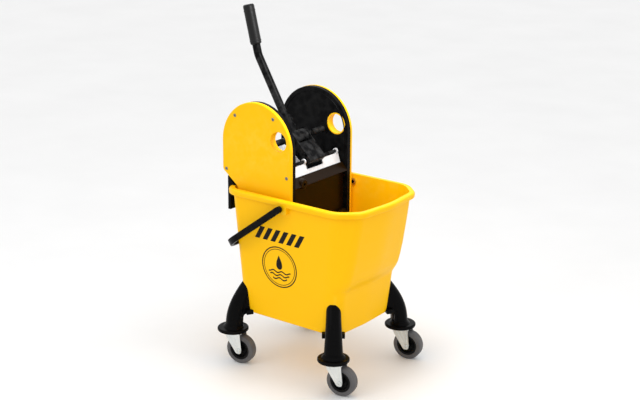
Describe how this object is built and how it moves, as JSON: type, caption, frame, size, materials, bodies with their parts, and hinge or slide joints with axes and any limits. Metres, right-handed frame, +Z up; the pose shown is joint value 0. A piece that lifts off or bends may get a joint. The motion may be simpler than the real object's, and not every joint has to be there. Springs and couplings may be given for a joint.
{
  "type": "mop bucket with wringer",
  "caption": "Wheeled janitor's mop bucket with swivel casters, a bail handle and a lift-off lever-press wringer.",
  "frame": {"origin": "on the floor under the middle of the bounding box", "axes": "+Z up along the height, +X toward the rounded pouring front, +Y toward the left side, -Y toward the printed right side"},
  "size_m": [0.4613, 0.364, 0.8894],
  "materials": {
    "yellow_plastic": "satin moulded polypropylene",
    "black_plastic": "satin moulded, fine grain",
    "black_steel": "powder coated, satin",
    "zinc_steel": "bright zinc plated",
    "galvanised_steel": "galvanised sheet",
    "tyre_grey": "matt non-marking thermoplastic rubber",
    "hub_black": "moulded",
    "grip_black": "soft moulded",
    "dull_steel": "passivated screws, dulled by use",
    "spring_steel": "oiled spring wire"
  },
  "bodies": {
    "root": {"bucket": "yellow_plastic", "leg_screws": "zinc_steel", "leg_front_left": "black_plastic", "leg_front_right": "black_plastic", "leg_rear_left": "black_plastic", "leg_rear_right": "black_plastic", "caster_stem_front_left": "zinc_steel", "caster_stem_front_right": "zinc_steel", "caster_stem_rear_left": "zinc_steel", "caster_stem_rear_right": "zinc_steel"},
    "bail": {"bail_handle": "black_plastic", "bail_clips": "zinc_steel"},
    "wringer": {"side_shell_left": "black_plastic", "side_shell_right": "black_plastic", "side_cover_left": "yellow_plastic", "side_cover_right": "yellow_plastic", "shaft_bush_left": "black_plastic", "shaft_bush_right": "black_plastic", "return_spring_left": "spring_steel", "return_spring_right": "spring_steel", "cover_screws": "dull_steel", "basket_screws": "dull_steel", "front_wall": "black_plastic", "back_plate": "galvanised_steel", "basket_floor": "black_plastic", "rear_hook": "black_plastic"},
    "lever": {"cross_shaft": "black_steel", "lever_socket": "black_steel", "shaft_pin": "black_steel", "lever_bolts": "black_steel", "lever_tube": "black_steel", "lever_grip": "grip_black", "press_yoke": "black_steel", "press_bar": "black_steel"},
    "press_plate": {"press_plate": "galvanised_steel", "guide_pins": "zinc_steel"},
    "caster_front_left": {"caster_fork_front_left": "zinc_steel", "axle_bolt_front_left": "zinc_steel", "axle_nut_front_left": "zinc_steel"},
    "wheel_front_left": {"wheel_hub_front_left": "hub_black", "tyre_front_left": "tyre_grey"},
    "caster_front_right": {"caster_fork_front_right": "zinc_steel", "axle_bolt_front_right": "zinc_steel", "axle_nut_front_right": "zinc_steel"},
    "wheel_front_right": {"wheel_hub_front_right": "hub_black", "tyre_front_right": "tyre_grey"},
    "caster_rear_left": {"caster_fork_rear_left": "zinc_steel", "axle_bolt_rear_left": "zinc_steel", "axle_nut_rear_left": "zinc_steel"},
    "wheel_rear_left": {"wheel_hub_rear_left": "hub_black", "tyre_rear_left": "tyre_grey"},
    "caster_rear_right": {"caster_fork_rear_right": "zinc_steel", "axle_bolt_rear_right": "zinc_steel", "axle_nut_rear_right": "zinc_steel"},
    "wheel_rear_right": {"wheel_hub_rear_right": "hub_black", "tyre_rear_right": "tyre_grey"}
  },
  "joints": [
    {"name": "wringer_lift", "type": "slide", "parent": "root", "child": "wringer", "axis": [0, 0, 1], "range_m": [0, 0.25]},
    {"name": "lever_swing", "type": "hinge", "parent": "wringer", "child": "lever", "pos_m": [-0.06421, 0, 0.574], "axis": [0, 1, 0], "range_deg": [0, 70], "stiffness_Nm_per_rad": 1.2, "springref_deg": -40.11},
    {"name": "press_plate_swing", "type": "hinge", "parent": "lever", "child": "press_plate", "pos_m": [-0.01531, 0, 0.527], "axis": [0, -1, 0], "range_deg": [0, 70]},
    {"name": "bail_swing", "type": "hinge", "parent": "root", "child": "bail", "pos_m": [0.00869, 0, 0.441], "axis": [0, 1, 0], "range_deg": [0, 44]},
    {"name": "caster_swivel_front_left", "type": "hinge", "parent": "root", "child": "caster_front_left", "pos_m": [0.16069, 0.1425, 0.08], "axis": [0, 0, 1], "continuous": true},
    {"name": "wheel_spin_front_left", "type": "hinge", "parent": "caster_front_left", "child": "wheel_front_left", "pos_m": [0.18422, 0.14724, 0.0375], "axis": [-0.1977, 0.9803, 0], "continuous": true},
    {"name": "caster_swivel_front_right", "type": "hinge", "parent": "root", "child": "caster_front_right", "pos_m": [0.16069, -0.1425, 0.08], "axis": [0, 0, 1], "continuous": true},
    {"name": "wheel_spin_front_right", "type": "hinge", "parent": "caster_front_right", "child": "wheel_front_right", "pos_m": [0.18422, -0.13776, 0.0375], "axis": [-0.1977, 0.9803, 0], "continuous": true},
    {"name": "caster_swivel_rear_left", "type": "hinge", "parent": "root", "child": "caster_rear_left", "pos_m": [-0.15631, 0.1425, 0.08], "axis": [0, 0, 1], "continuous": true},
    {"name": "wheel_spin_rear_left", "type": "hinge", "parent": "caster_rear_left", "child": "wheel_rear_left", "pos_m": [-0.13278, 0.14724, 0.0375], "axis": [-0.1977, 0.9803, 0], "continuous": true},
    {"name": "caster_swivel_rear_right", "type": "hinge", "parent": "root", "child": "caster_rear_right", "pos_m": [-0.15631, -0.1425, 0.08], "axis": [0, 0, 1], "continuous": true},
    {"name": "wheel_spin_rear_right", "type": "hinge", "parent": "caster_rear_right", "child": "wheel_rear_right", "pos_m": [-0.13278, -0.13776, 0.0375], "axis": [-0.1977, 0.9803, 0], "continuous": true}
  ],
  "couplings": [
    {"joint": "press_plate_swing", "follows": "lever_swing", "ratio": 1}
  ]
}
